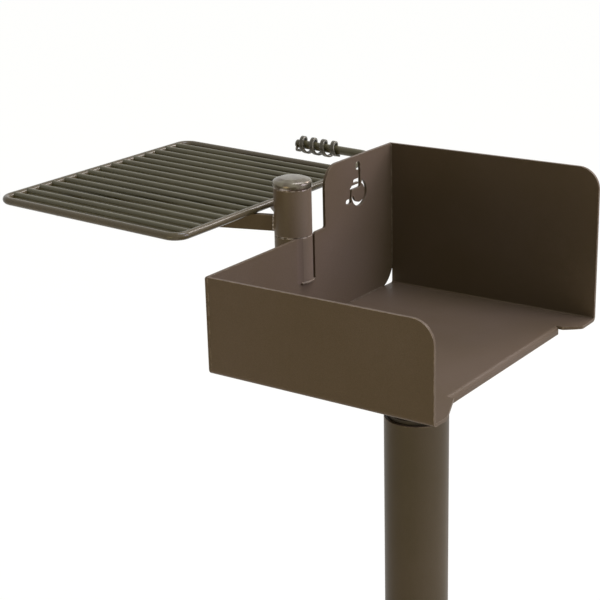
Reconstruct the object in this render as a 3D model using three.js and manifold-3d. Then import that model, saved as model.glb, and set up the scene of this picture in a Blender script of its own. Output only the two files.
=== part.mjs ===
// Park charcoal grill on a pedestal, in millimetres, +Z up.
//
// The object is a bent steel firebox that turns on a fixed pipe, and a cooking
// grate on a welded arm that swings on a post at the firebox's closed side.
// World origin: middle of the underside of the base plate.

import * as THREE from 'three';
import { mergeVertices } from 'three/addons/utils/BufferGeometryUtils.js';
import Module from 'manifold-3d';

const wasm = await Module();
wasm.setup();

// Shared clearances and stock sizes
const FIT_GAP = 0.3;
const PLATE = 4.76;
const ROD_RADIUS = 6.35;

// Firebox: closed side at x = 0, front at y = 0, open side at x = BOX_WIDTH
const BOX_WIDTH = 381.9;
const BOX_DEPTH = 508;
const FRONT_HEIGHT = 150.45;
const REAR_HEIGHT = 249.25;
const BEND_RADIUS = 8;
const CORNER_RADIUS = 35;
const BOX_BOTTOM_Z = 660;

// Side wall: a low front part, a notch for the swing post and a tall rear part
const STEP_Y = 304;
const STEP_FILLET = 4;
const NOTCH_CORNER = 6;
const WALL_EDGE_RADIUS = 3;
const DRAIN_CORNER_RADIUS = 50;

// Turned-down lip along the open edge of the floor, and the relief at its ends
const LIP_SETBACK = 31.9;
const LIP_DROP = 8.5;
const LIP_BEND_RADIUS = 7;
const LIP_FROM_FRONT = 98;
const LIP_FROM_REAR = 66;
const RELIEF_FROM_FRONT = 36.5;
const RELIEF_FROM_REAR = 44;
const RELIEF_OVERHANG = 7;
const LIP_FACE_X = BOX_WIDTH - LIP_SETBACK;
const LIP_FRONT_Y = LIP_FROM_FRONT;
const LIP_REAR_Y = BOX_DEPTH - LIP_FROM_REAR;

// Swing post beside the closed side
const SWING_X = -20;
const SWING_Y = 250;
const SLEEVE_RADIUS = 30.15;
const SLEEVE_BORE = 26.25;
const SOCKET_BOTTOM = 76;
const SLEEVE_TOP = 227;
const POST_TOP = 225;
const POST_BORE = 20.7;
const CAP_RADIUS = 31.3;
const CAP_HEIGHT = 16;
const CAP_EDGE_RADIUS = 10;

// Grate deck, in the frame of the swing axis with +x toward the firebox
const DECK_Z = 186.2;
const GRATE_RISE_DEG = 1.78;
const FRAME_X0 = -427;
const FRAME_X1 = -58;
const FRAME_Y0 = -213;
const FRAME_Y1 = 259;
const FRAME_CORNER = 22;
const BAR_COUNT = 15;
const FRONT_ARM_SPREAD_DEG = 22;
const REAR_ARM_SPREAD_DEG = 41;
const ARM_REACH = 395;
const ARM_THICK = 9.5;
const ARM_TALL = 25.4;

// Handle rod and its coil grip
const HANDLE_X = -75;
const HANDLE_CORNER_Y = 347.8;
const HANDLE_ROD_RADIUS = 7.6;
const HANDLE_RISE = 8.4;
const HANDLE_BEND = 24;
const HANDLE_TIP_RUN = 157;
const COIL_STRIP_WIDTH = 8;
const COIL_STRIP_THICKNESS = 3.5;
const COIL_RADIUS = 13.75;
const COIL_LENGTH = 89.4;
const COIL_CURLS = 4.25;
const COIL_TAPER_CURL = 0.25;
const COIL_STEPS_PER_CURL = 8;
const COIL_OPENING = 0.35;
const COIL_OVERHANG = 2;

// Pedestal, turning spindle and its bearings
const PIPE_RADIUS = 50.8;
const PIPE_WALL = 5.74;
const PIPE_TOP = 550;
const BASE_SIZE = 305;
const BASE_THICK = 12.7;
const BASE_CORNER = 12;
const ANCHOR_OFFSET = 115;
const ANCHOR_RADIUS = 8.75;
const SPINDLE_RADIUS = 36.5;
const SPINDLE_WALL = 5.15;
const SPINDLE_BOTTOM = 400;
const RING_BORE = 37.1;
const RING_THICK = 12.7;
const BEARING_TOP = 546;
const GUIDE_BOTTOM = 420;
const COLLAR_RADIUS = 44.45;
const COLLAR_THICK = 10;
const PIN_RADIUS = 4.75;
const PIN_LENGTH = 85;
const PIN_Z = 409;
const DOUBLER_SIZE = 178;
const DOUBLER_THICK = 6.35;
const POST_OFFSET_X = 12.05;
const POST_X_IN_BOX = BOX_WIDTH / 2 + POST_OFFSET_X;
const POST_Y_IN_BOX = BOX_DEPTH / 2;

const DEG = Math.PI / 180;

// Materials
const coated = new THREE.MeshStandardMaterial({ color: 0x55473a, roughness: 0.42, metalness: 0.15 });
const coatedBar = new THREE.MeshStandardMaterial({ color: 0x5f574a, roughness: 0.4, metalness: 0.2 });
const bareSteel = new THREE.MeshStandardMaterial({ color: 0x8a8680, roughness: 0.45, metalness: 0.8 });
const coilSteel = new THREE.MeshStandardMaterial({ color: 0x6b6358, roughness: 0.35, metalness: 0.6 });

// Solids and meshes

function solid(geometry) {
  const bare = geometry.clone();
  bare.deleteAttribute('normal');
  bare.deleteAttribute('uv');
  const merged = mergeVertices(bare, 1e-4);
  const vertProperties = new Float32Array(merged.attributes.position.array);
  const triVerts = new Uint32Array(merged.index.array);
  return new wasm.Manifold(new wasm.Mesh({ numProp: 3, vertProperties, triVerts }));
}

function geometryOf(body) {
  const mesh = body.getMesh();
  const geometry = new THREE.BufferGeometry();
  geometry.setAttribute('position', new THREE.BufferAttribute(new Float32Array(mesh.vertProperties), 3));
  geometry.setIndex(new THREE.BufferAttribute(new Uint32Array(mesh.triVerts), 1));
  geometry.computeVertexNormals();
  return geometry;
}

function place(parent, name, geometry, material, x = 0, y = 0, z = 0) {
  const mesh = new THREE.Mesh(geometry, material);
  mesh.name = name;
  mesh.position.set(x, y, z);
  parent.add(mesh);
  return mesh;
}

// A shape drawn in x and y, extruded from z0 to z1
function prismAlongZ(shape, z0, z1) {
  const geometry = new THREE.ExtrudeGeometry(shape, { depth: z1 - z0, bevelEnabled: false, curveSegments: 10 });
  geometry.translate(0, 0, z0);
  return geometry;
}

// A shape drawn in y and z, extruded from x0 to x1
function prismAlongX(shape, x0, x1) {
  const geometry = prismAlongZ(shape, x0, x1);
  const turn = new THREE.Matrix4().makeBasis(
    new THREE.Vector3(0, 1, 0),
    new THREE.Vector3(0, 0, 1),
    new THREE.Vector3(1, 0, 0),
  );
  return geometry.applyMatrix4(turn);
}

// A shape drawn in x and z, extruded from y0 to y1
function prismAlongY(shape, y0, y1) {
  const geometry = prismAlongZ(shape, -y1, -y0);
  return geometry.rotateX(Math.PI / 2);
}

// A plain ring or pipe about the z axis
function ring(outer, inner, z0, z1, segments = 48) {
  const profile = [
    new THREE.Vector2(inner, z0),
    new THREE.Vector2(outer, z0),
    new THREE.Vector2(outer, z1),
    new THREE.Vector2(inner, z1),
    new THREE.Vector2(inner, z0),
  ];
  return new THREE.LatheGeometry(profile, segments).rotateX(Math.PI / 2);
}

// A round bar of the given length along x, centred on the origin
function roundBar(radius, length, sides = 16) {
  return new THREE.CylinderGeometry(radius, radius, length, sides).rotateZ(Math.PI / 2);
}

function circleShape(radius) {
  const shape = new THREE.Shape();
  shape.absarc(0, 0, radius, 0, Math.PI * 2, false);
  return shape;
}

// A rectangle with rounded corners, drawn counter-clockwise
function roundedRectangle(x0, x1, y0, y1, radius) {
  const shape = new THREE.Shape();
  shape.moveTo(x0 + radius, y0);
  shape.lineTo(x1 - radius, y0);
  shape.absarc(x1 - radius, y0 + radius, radius, -Math.PI / 2, 0, false);
  shape.lineTo(x1, y1 - radius);
  shape.absarc(x1 - radius, y1 - radius, radius, 0, Math.PI / 2, false);
  shape.lineTo(x0 + radius, y1);
  shape.absarc(x0 + radius, y1 - radius, radius, Math.PI / 2, Math.PI, false);
  shape.lineTo(x0, y0 + radius);
  shape.absarc(x0 + radius, y0 + radius, radius, Math.PI, Math.PI * 1.5, false);
  return shape;
}

// Pedestal parts

function basePlate() {
  const half = BASE_SIZE / 2;
  const shape = roundedRectangle(-half, half, -half, half, BASE_CORNER);
  for (const x of [-ANCHOR_OFFSET, ANCHOR_OFFSET]) {
    for (const y of [-ANCHOR_OFFSET, ANCHOR_OFFSET]) {
      const hole = new THREE.Path();
      hole.absarc(x, y, ANCHOR_RADIUS, 0, Math.PI * 2, true);
      shape.holes.push(hole);
    }
  }
  return prismAlongZ(shape, 0, BASE_THICK);
}

function pedestalPipe() {
  return ring(PIPE_RADIUS, PIPE_RADIUS - PIPE_WALL, BASE_THICK + FIT_GAP, PIPE_TOP, 64);
}

function pipeRing(z0) {
  return ring(PIPE_RADIUS - PIPE_WALL - FIT_GAP, RING_BORE, z0, z0 + RING_THICK, 56);
}

// Spindle parts

const DOUBLER_TOP = BOX_BOTTOM_Z - FIT_GAP;
const SPINDLE_TOP = DOUBLER_TOP - DOUBLER_THICK - FIT_GAP;

function floorDoubler() {
  const half = DOUBLER_SIZE / 2;
  const shape = roundedRectangle(-half, half, -half, half, BASE_CORNER);
  return prismAlongZ(shape, DOUBLER_TOP - DOUBLER_THICK, DOUBLER_TOP);
}

function spindle() {
  const pipe = solid(ring(SPINDLE_RADIUS, SPINDLE_RADIUS - SPINDLE_WALL, SPINDLE_BOTTOM, SPINDLE_TOP, 56));
  const bore = roundBar(PIN_RADIUS + FIT_GAP, SPINDLE_RADIUS * 3, 24).translate(0, 0, PIN_Z);
  return geometryOf(pipe.subtract(solid(bore)));
}

function thrustCollar() {
  const z0 = BEARING_TOP + FIT_GAP;
  return ring(COLLAR_RADIUS, SPINDLE_RADIUS + FIT_GAP, z0, z0 + COLLAR_THICK, 56);
}

// Firebox parts

// Front panel, floor and rear panel are one plate bent twice
function trayProfile() {
  const r = BEND_RADIUS;
  const inner = r - PLATE;
  const rearX = BOX_DEPTH - r;
  const shape = new THREE.Shape();
  shape.moveTo(0, FRONT_HEIGHT);
  shape.lineTo(0, r);
  shape.absarc(r, r, r, Math.PI, Math.PI * 1.5, false);
  shape.lineTo(rearX, 0);
  shape.absarc(rearX, r, r, -Math.PI / 2, 0, false);
  shape.lineTo(BOX_DEPTH, REAR_HEIGHT);
  shape.lineTo(BOX_DEPTH - PLATE, REAR_HEIGHT);
  shape.lineTo(BOX_DEPTH - PLATE, r);
  shape.absarc(rearX, r, inner, 0, -Math.PI / 2, true);
  shape.lineTo(r, PLATE);
  shape.absarc(r, r, inner, -Math.PI / 2, -Math.PI, true);
  shape.lineTo(PLATE, FRONT_HEIGHT);
  return shape;
}

// What is cut away outside a rounded upper corner at the open side
function cornerCutter(top, y0, y1) {
  const x = BOX_WIDTH - CORNER_RADIUS;
  const z = top - CORNER_RADIUS;
  const shape = new THREE.Shape();
  shape.moveTo(BOX_WIDTH + 1, z);
  shape.lineTo(BOX_WIDTH + 1, top + 1);
  shape.lineTo(x, top + 1);
  shape.lineTo(x, top);
  shape.absarc(x, z, CORNER_RADIUS, Math.PI / 2, 0, true);
  return solid(prismAlongY(shape, y0, y1));
}

// The floor narrows between its two ends, along a curve at each end of the lip
function floorCutter() {
  const bendStart = LIP_FACE_X - LIP_BEND_RADIUS;
  const overhang = LIP_FACE_X + RELIEF_OVERHANG;
  const frontY = RELIEF_FROM_FRONT;
  const rearY = BOX_DEPTH - RELIEF_FROM_REAR;
  const outside = BOX_WIDTH + PLATE;
  const bow = (BOX_WIDTH - overhang) / 6;
  const shape = new THREE.Shape();
  shape.moveTo(BOX_WIDTH, frontY);
  shape.lineTo(outside, frontY);
  shape.lineTo(outside, rearY);
  shape.lineTo(BOX_WIDTH, rearY);
  shape.quadraticCurveTo(BOX_WIDTH - bow, (rearY * 2 + LIP_REAR_Y) / 3, overhang, LIP_REAR_Y);
  shape.lineTo(bendStart, LIP_REAR_Y);
  shape.lineTo(bendStart, LIP_FRONT_Y);
  shape.lineTo(overhang, LIP_FRONT_Y);
  shape.quadraticCurveTo(BOX_WIDTH - 2 * bow, (frontY * 2 + LIP_FRONT_Y) / 3, BOX_WIDTH, frontY);
  return solid(prismAlongZ(shape, -PLATE, BEND_RADIUS * 2));
}

function floorLip() {
  const r = LIP_BEND_RADIUS;
  const x = LIP_FACE_X - r;
  const z = PLATE - r;
  const shape = new THREE.Shape();
  shape.moveTo(x - 1, 0);
  shape.lineTo(x, 0);
  shape.absarc(x, z, r - PLATE, Math.PI / 2, 0, true);
  shape.lineTo(LIP_FACE_X - PLATE, -LIP_DROP);
  shape.lineTo(LIP_FACE_X, -LIP_DROP);
  shape.lineTo(LIP_FACE_X, z);
  shape.absarc(x, z, r, 0, Math.PI / 2, false);
  shape.lineTo(x - 1, PLATE);
  return solid(prismAlongY(shape, LIP_FRONT_Y, LIP_REAR_Y));
}

function fireboxTray() {
  const plate = solid(prismAlongX(trayProfile(), PLATE + FIT_GAP, BOX_WIDTH));
  const rounded = plate
    .subtract(cornerCutter(FRONT_HEIGHT, -1, PLATE + 1))
    .subtract(cornerCutter(REAR_HEIGHT, BOX_DEPTH - PLATE - 1, BOX_DEPTH + 1));
  return geometryOf(rounded.subtract(floorCutter()).add(floorLip()));
}

function sideWall() {
  const halfChord = Math.sqrt((SLEEVE_RADIUS + FIT_GAP) ** 2 - SWING_X ** 2);
  const notchFront = SWING_Y - halfChord;
  const notchRear = SWING_Y + halfChord;
  const notchBottom = SOCKET_BOTTOM - FIT_GAP;
  const low = FRONT_HEIGHT;
  const tall = REAR_HEIGHT;
  const shape = new THREE.Shape();
  shape.moveTo(BEND_RADIUS, 0);
  shape.lineTo(BOX_DEPTH - DRAIN_CORNER_RADIUS, 0);
  shape.absarc(
    BOX_DEPTH - DRAIN_CORNER_RADIUS, DRAIN_CORNER_RADIUS, DRAIN_CORNER_RADIUS, -Math.PI / 2, 0, false,
  );
  shape.lineTo(BOX_DEPTH, tall);
  shape.lineTo(STEP_Y + CORNER_RADIUS, tall);
  shape.absarc(STEP_Y + CORNER_RADIUS, tall - CORNER_RADIUS, CORNER_RADIUS, Math.PI / 2, Math.PI, false);
  shape.lineTo(STEP_Y, low + STEP_FILLET);
  shape.absarc(STEP_Y - STEP_FILLET, low + STEP_FILLET, STEP_FILLET, 0, -Math.PI / 2, true);
  shape.lineTo(notchRear + NOTCH_CORNER, low);
  shape.absarc(notchRear + NOTCH_CORNER, low - NOTCH_CORNER, NOTCH_CORNER, Math.PI / 2, Math.PI, false);
  shape.lineTo(notchRear, notchBottom);
  shape.lineTo(notchFront, notchBottom);
  shape.lineTo(notchFront, low);
  shape.lineTo(WALL_EDGE_RADIUS, low);
  shape.absarc(WALL_EDGE_RADIUS, low - WALL_EDGE_RADIUS, WALL_EDGE_RADIUS, Math.PI / 2, Math.PI, false);
  shape.lineTo(0, BEND_RADIUS);
  shape.absarc(BEND_RADIUS, BEND_RADIUS, BEND_RADIUS, Math.PI, Math.PI * 1.5, false);
  return prismAlongX(shape, 0, PLATE);
}

function postSocket() {
  return ring(SLEEVE_RADIUS, SLEEVE_BORE, SOCKET_BOTTOM, FRONT_HEIGHT);
}

function pivotPost() {
  return ring(SLEEVE_BORE - FIT_GAP, POST_BORE, SOCKET_BOTTOM, POST_TOP);
}

// Swinging arm parts

function swingSleeve() {
  return ring(SLEEVE_RADIUS, SLEEVE_BORE, FRONT_HEIGHT + FIT_GAP, SLEEVE_TOP);
}

function sleeveCap() {
  const bottom = SLEEVE_TOP + FIT_GAP;
  const top = bottom + CAP_HEIGHT;
  const profile = [new THREE.Vector2(0, bottom), new THREE.Vector2(CAP_RADIUS, bottom)];
  for (let i = 0; i <= 6; i += 1) {
    const angle = (i / 6) * (Math.PI / 2);
    const r = CAP_RADIUS - CAP_EDGE_RADIUS + CAP_EDGE_RADIUS * Math.cos(angle);
    const z = top - 1 - CAP_EDGE_RADIUS + CAP_EDGE_RADIUS * Math.sin(angle);
    profile.push(new THREE.Vector2(r, z));
  }
  profile.push(new THREE.Vector2(0, top));
  return new THREE.LatheGeometry(profile, 48).rotateX(Math.PI / 2);
}

// A flat bar on edge, from the sleeve out under the grate; side is -1 or +1
function gratingArm(spreadDeg) {
  const start = SLEEVE_BORE;
  const bar = new THREE.BoxGeometry(ARM_REACH - start, ARM_THICK, ARM_TALL);
  bar.translate(-(ARM_REACH + start) / 2, 0, -ROD_RADIUS - FIT_GAP - ARM_TALL / 2);
  bar.rotateZ(-spreadDeg * DEG);
  const clear = SLEEVE_RADIUS + FIT_GAP;
  const hole = new THREE.CylinderGeometry(clear, clear, ARM_TALL * 8, 96).rotateX(Math.PI / 2);
  hole.rotateY(-GRATE_RISE_DEG * DEG);
  return geometryOf(solid(bar).subtract(solid(hole)));
}

// The outer frame is one rod bent into a closed rounded rectangle
function grateFrame() {
  const outline = roundedRectangle(FRAME_X0, FRAME_X1, FRAME_Y0, FRAME_Y1, FRAME_CORNER);
  const path = outline.getPoints(7);
  if (path[0].distanceTo(path[path.length - 1]) < 1e-6) {
    path.pop();
  }
  const sides = 16;
  const count = path.length;
  const positions = [];
  for (let i = 0; i < count; i += 1) {
    const before = path[(i + count - 1) % count];
    const after = path[(i + 1) % count];
    const into = path[i].clone().sub(before).normalize();
    const out = after.clone().sub(path[i]).normalize();
    const along = into.clone().add(out).normalize();
    const stretch = 1 / along.dot(out);
    for (let j = 0; j < sides; j += 1) {
      const angle = (j / sides) * Math.PI * 2;
      const reach = ROD_RADIUS * Math.cos(angle) * stretch;
      positions.push(path[i].x + along.y * reach, path[i].y - along.x * reach, ROD_RADIUS * Math.sin(angle));
    }
  }
  const index = [];
  for (let i = 0; i < count; i += 1) {
    for (let j = 0; j < sides; j += 1) {
      const a = i * sides + j;
      const b = ((i + 1) % count) * sides + j;
      const c = ((i + 1) % count) * sides + (j + 1) % sides;
      const d = i * sides + (j + 1) % sides;
      index.push(a, b, c, a, c, d);
    }
  }
  const geometry = new THREE.BufferGeometry();
  geometry.setAttribute('position', new THREE.Float32BufferAttribute(positions, 3));
  geometry.setIndex(index);
  geometry.computeVertexNormals();
  return geometry;
}

function grateBar() {
  return roundBar(ROD_RADIUS, FRAME_X1 - FRAME_X0 - 2 * (ROD_RADIUS + FIT_GAP));
}

// Handle path: out from the rear of the frame, then a bend to run back along it
const HANDLE_DIR = new THREE.Vector3(-1, 0, 0);
const HANDLE_CORNER = new THREE.Vector3(HANDLE_X, HANDLE_CORNER_Y, HANDLE_RISE);
const HANDLE_TIP = HANDLE_CORNER.clone().addScaledVector(HANDLE_DIR, HANDLE_TIP_RUN);

function handlePoints() {
  const start = new THREE.Vector3(HANDLE_X, FRAME_Y1 + ROD_RADIUS + FIT_GAP, 0);
  const points = [start, start.clone().add(new THREE.Vector3(0, 3, 0))];
  const rise = new THREE.Vector3(HANDLE_X, HANDLE_CORNER_Y - HANDLE_BEND, HANDLE_RISE);
  points.push(start.clone().lerp(rise, 0.5));
  const centre = new THREE.Vector3(HANDLE_X - HANDLE_BEND, rise.y, HANDLE_RISE);
  for (let i = 0; i <= 8; i += 1) {
    const angle = (i / 8) * 90 * DEG;
    const reach = new THREE.Vector3(Math.cos(angle), Math.sin(angle), 0).multiplyScalar(HANDLE_BEND);
    points.push(centre.clone().add(reach));
  }
  const last = points[points.length - 1];
  points.push(last.clone().lerp(HANDLE_TIP, 0.1));
  points.push(last.clone().lerp(HANDLE_TIP, 0.5));
  points.push(HANDLE_TIP.clone());
  return points;
}

function handleRod() {
  const path = new THREE.CatmullRomCurve3(handlePoints(), false, 'centripetal');
  return new THREE.ExtrudeGeometry(circleShape(HANDLE_ROD_RADIUS), {
    steps: 30,
    curveSegments: 7,
    bevelEnabled: false,
    extrudePath: path,
  });
}

// The grip is one flat strip wound round the rod, closing in on it at both ends. It starts
// beside the rod as a narrow tongue, which widens in one place before the pitch begins
class CoilCurve extends THREE.Curve {
  getPoint(t, target = new THREE.Vector3()) {
    const chord = Math.cos(Math.PI / COIL_STEPS_PER_CURL);
    const closed = (HANDLE_ROD_RADIUS + FIT_GAP + COIL_STRIP_THICKNESS / 2) / chord;
    const fromEnd = Math.min(t, 1 - t) * COIL_CURLS;
    const open = Math.min(fromEnd / COIL_OPENING, 1);
    const radius = closed + (COIL_RADIUS - closed) * open * open * (3 - 2 * open);
    const wound = t * COIL_CURLS - COIL_TAPER_CURL;
    const angle = wound * Math.PI * 2;
    const along = Math.max(wound, 0) / (COIL_CURLS - COIL_TAPER_CURL) * COIL_LENGTH;
    return target.set(along, radius * Math.sin(angle), -radius * Math.cos(angle));
  }
}

// The four corners of the strip's section at one place along it
function stripCorners(curve, t) {
  const at = curve.getPoint(t);
  const outward = new THREE.Vector3(0, at.y, at.z).normalize();
  const grown = Math.min(t * COIL_CURLS / COIL_TAPER_CURL, 1);
  const width = COIL_STRIP_WIDTH * (1 + 7 * grown) / 8;
  return [[-1, -1], [0, -1], [0, 1], [-1, 1]].map(([along, across]) => {
    const corner = at.clone().addScaledVector(outward, across * COIL_STRIP_THICKNESS / 2);
    corner.x += along * width + COIL_STRIP_WIDTH / 2;
    return corner;
  });
}

function handleCoil() {
  const curve = new CoilCurve();
  const steps = COIL_CURLS * COIL_STEPS_PER_CURL;
  const positions = [];
  const faces = [];
  for (let i = 0; i <= steps; i += 1) {
    for (const corner of stripCorners(curve, i / steps)) {
      positions.push(corner.x, corner.y, corner.z);
    }
  }
  for (let i = 0; i < steps; i += 1) {
    for (let k = 0; k < 4; k += 1) {
      const a = 4 * i + k;
      const b = 4 * i + (k + 1) % 4;
      faces.push(a, b, b + 4, a, b + 4, a + 4);
    }
  }
  const end = 4 * steps;
  faces.push(3, 2, 1, 3, 1, 0, end, end + 1, end + 2, end, end + 2, end + 3);
  const geometry = new THREE.BufferGeometry();
  geometry.setAttribute('position', new THREE.Float32BufferAttribute(positions, 3));
  geometry.setIndex(faces);
  const strip = geometry.toNonIndexed();
  strip.computeVertexNormals();
  return strip;
}

// Least free space between one curl of the grip and the next
function coilSelfGap() {
  const curve = new CoilCurve();
  const samples = COIL_CURLS * 48;
  const rows = [];
  for (let i = 0; i <= samples; i += 1) {
    rows.push(stripCorners(curve, i / samples));
  }
  let least = Infinity;
  for (let i = 0; i < rows.length; i += 1) {
    for (let j = i + 32; j < rows.length; j += 1) {
      for (const a of rows[i]) {
        for (const b of rows[j]) {
          least = Math.min(least, a.distanceTo(b));
        }
      }
    }
  }
  return least;
}

// Least free space between the grip and the rod inside it
function coilRodGap(geometry) {
  const at = geometry.attributes.position;
  const a = new THREE.Vector3();
  const b = new THREE.Vector3();
  let least = Infinity;
  for (let i = 0; i < at.count; i += 3) {
    for (const [m, n] of [[0, 1], [1, 2], [2, 0]]) {
      a.fromBufferAttribute(at, i + m);
      b.fromBufferAttribute(at, i + n);
      for (let k = 0; k <= 8; k += 1) {
        const y = a.y + (b.y - a.y) * k / 8;
        const z = a.z + (b.z - a.z) * k / 8;
        least = Math.min(least, Math.hypot(y, z));
      }
    }
  }
  return least - HANDLE_ROD_RADIUS;
}

// Scene graph

const group = new THREE.Group();

const pedestal = new THREE.Group();
group.add(pedestal);
place(pedestal, 'base_plate', basePlate(), coated);
place(pedestal, 'pedestal_pipe', pedestalPipe(), coated);
place(pedestal, 'bearing_ring', pipeRing(BEARING_TOP - RING_THICK), bareSteel);
place(pedestal, 'guide_ring', pipeRing(GUIDE_BOTTOM), bareSteel);

const turning = new THREE.Group();
group.add(turning);
place(turning, 'floor_doubler', floorDoubler(), coated);
place(turning, 'spindle', spindle(), coated);
place(turning, 'thrust_collar', thrustCollar(), bareSteel);
place(turning, 'retaining_pin', roundBar(PIN_RADIUS, PIN_LENGTH, 20), bareSteel, 0, 0, PIN_Z);

const firebox = new THREE.Group();
firebox.position.set(-POST_X_IN_BOX, -POST_Y_IN_BOX, BOX_BOTTOM_Z);
turning.add(firebox);
place(firebox, 'firebox_tray', fireboxTray(), coated);
place(firebox, 'side_wall', sideWall(), coated);

const swing = new THREE.Group();
swing.position.set(SWING_X, SWING_Y, 0);
firebox.add(swing);
place(swing, 'post_socket', postSocket(), coated);
place(swing, 'pivot_post', pivotPost(), bareSteel);
place(swing, 'swing_sleeve', swingSleeve(), coated);
place(swing, 'sleeve_cap', sleeveCap(), coated);

const deck = new THREE.Group();
deck.position.set(0, 0, DECK_Z);
deck.rotation.y = GRATE_RISE_DEG * DEG;
swing.add(deck);
place(deck, 'front_arm', gratingArm(-FRONT_ARM_SPREAD_DEG), coatedBar);
place(deck, 'rear_arm', gratingArm(REAR_ARM_SPREAD_DEG), coatedBar);
place(deck, 'grate_frame', grateFrame(), coatedBar);
const barX = (FRAME_X0 + FRAME_X1) / 2;
const barPitch = (FRAME_Y1 - FRAME_Y0) / (BAR_COUNT + 1);
for (let i = 1; i <= BAR_COUNT; i += 1) {
  const name = `grate_bar_${String(i).padStart(2, '0')}`;
  place(deck, name, grateBar(), coatedBar, barX, FRAME_Y0 + barPitch * i, 0);
}
place(deck, 'handle_rod', handleRod(), coatedBar);

const coilAt = HANDLE_TIP.clone().addScaledVector(HANDLE_DIR, COIL_OVERHANG);
const coilGeometry = handleCoil();
place(deck, 'handle_coil', coilGeometry, coilSteel, coilAt.x, coilAt.y, coilAt.z);
console.log(`grip: least gap between curls ${coilSelfGap().toFixed(2)} mm`);
console.log(`grip: least gap to the rod ${coilRodGap(coilGeometry).toFixed(2)} mm`);

export default group;
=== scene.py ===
# %% [markdown]
# A park charcoal grill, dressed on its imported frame.
#
# The frame already holds every plate, pipe and rod at its real size. This lesson
# adds what the frame leaves out: rounded edges, weld beads, a cut-out sign, a
# smooth grip, and finishes that look like coated steel. The world is in metres. The
# grill's own measures are written in millimetres, as a maker would give them.

import math
import random

import bpy
from mathutils import Matrix, Vector


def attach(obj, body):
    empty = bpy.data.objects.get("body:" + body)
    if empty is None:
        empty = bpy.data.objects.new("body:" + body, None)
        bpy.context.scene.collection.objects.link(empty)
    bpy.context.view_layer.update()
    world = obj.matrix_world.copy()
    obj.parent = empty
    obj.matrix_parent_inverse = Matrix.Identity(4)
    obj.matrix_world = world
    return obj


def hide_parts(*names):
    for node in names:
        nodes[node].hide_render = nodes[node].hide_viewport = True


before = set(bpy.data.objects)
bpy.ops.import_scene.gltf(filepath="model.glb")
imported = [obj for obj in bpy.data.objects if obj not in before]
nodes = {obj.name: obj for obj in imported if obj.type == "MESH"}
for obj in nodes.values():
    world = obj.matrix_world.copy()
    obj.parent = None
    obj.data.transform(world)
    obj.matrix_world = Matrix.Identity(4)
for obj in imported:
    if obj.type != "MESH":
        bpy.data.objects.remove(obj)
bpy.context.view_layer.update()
random.seed(7)

# %% [markdown]
# Two parts of the grill have measures of their own. The firebox is drawn from its
# front left bottom corner, and the grate from the swing post, tipped up a little
# toward its tip. Two small functions turn their millimetres into world metres, so
# that a weld or a rod can be written where it would be measured in the workshop.

# %% Local places
MM = 0.001
PEDESTAL_X, PEDESTAL_Y = 203, 254
POST_X, POST_Y = -20, 250
FLOOR_HEIGHT = 660
DECK_HEIGHT = 186.2
GRATE_RISE = math.radians(1.78)
BOX_ORIGIN = Vector((-PEDESTAL_X, -PEDESTAL_Y, FLOOR_HEIGHT))
DECK_ORIGIN = BOX_ORIGIN + Vector((POST_X, POST_Y, DECK_HEIGHT))


def in_box(x, y, z):
    return (BOX_ORIGIN + Vector((x, y, z))) * MM


def on_deck(x, y, z):
    turned = Matrix.Rotation(GRATE_RISE, 3, "Y") @ Vector((x, y, z))
    return (DECK_ORIGIN + turned) * MM


print("swing post at", [round(v, 3) for v in on_deck(0, 0, 0)])

# %% [markdown]
# The camera repeats the photograph: its place was worked out from the straight
# edges of the firebox. A camera looks along its own -Z with +Y up, so its
# rotation is built from the viewing direction, rolled by a degree and a half.

# %% Camera
YAW = math.radians(-35.5536)
PITCH = math.radians(18.4906)
ROLL = math.radians(-1.4904)
SENSOR_WIDTH = 36
PHOTO_WIDTH = 600
FOCAL_PIXELS = 1507.454
CAMERA_PLACE = Vector((1.1142, -1.8619, 1.4654))

forward = Vector((
    math.sin(YAW) * math.cos(PITCH),
    math.cos(YAW) * math.cos(PITCH),
    -math.sin(PITCH),
))
right = Vector((math.cos(YAW), -math.sin(YAW), 0))
up = right.cross(forward)
cam_right = right * math.cos(ROLL) + up * math.sin(ROLL)
cam_up = up * math.cos(ROLL) - right * math.sin(ROLL)
camera_data = bpy.data.cameras.new("photo_camera")
camera_data.sensor_width = SENSOR_WIDTH
camera_data.lens = SENSOR_WIDTH * FOCAL_PIXELS / PHOTO_WIDTH
camera_data.clip_start = 0.05
camera_data.clip_end = 200
camera = bpy.data.objects.new("photo_camera", camera_data)
bpy.context.scene.collection.objects.link(camera)
turn = Matrix((cam_right, cam_up, -forward)).transposed().to_4x4()
camera.matrix_world = Matrix.Translation(CAMERA_PLACE) @ turn
bpy.context.scene.camera = camera
print("lens", round(camera_data.lens, 2))

# %% [markdown]
# Floor, sky and coats are all built from shader nodes. `feed` gives a node its
# inputs: it links a socket, and sets a plain value. `add_node` makes a node and
# feeds it. The small functions after it make the kinds that come back often.

# %% Node helpers
WHITE = (1, 1, 1, 1)
MIX_FACTOR, MIX_A, MIX_B, MIX_RESULT = 0, 6, 7, 2  # colour sockets of a Mix node


def feed(tree, node, inputs):
    for key, value in inputs.items():
        socket = node.inputs[key]
        if isinstance(value, bpy.types.NodeSocket):
            tree.links.new(value, socket)
        else:
            socket.default_value = value


def add_node(tree, kind, inputs=None, **settings):
    made = tree.nodes.new(kind)
    for name, setting in settings.items():
        setattr(made, name, setting)
    feed(tree, made, inputs or {})
    return made


def calculate(tree, operation, *values, clamp=False):
    made = add_node(
        tree, "ShaderNodeMath", dict(enumerate(values)), operation=operation, use_clamp=clamp
    )
    return made.outputs[0]


def map_range(tree, value, low, high, to_low=0.0, to_high=1.0):
    made = add_node(tree, "ShaderNodeMapRange", {
        "Value": value, "From Min": low, "From Max": high, "To Min": to_low, "To Max": to_high,
    })
    return made.outputs[0]


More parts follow.
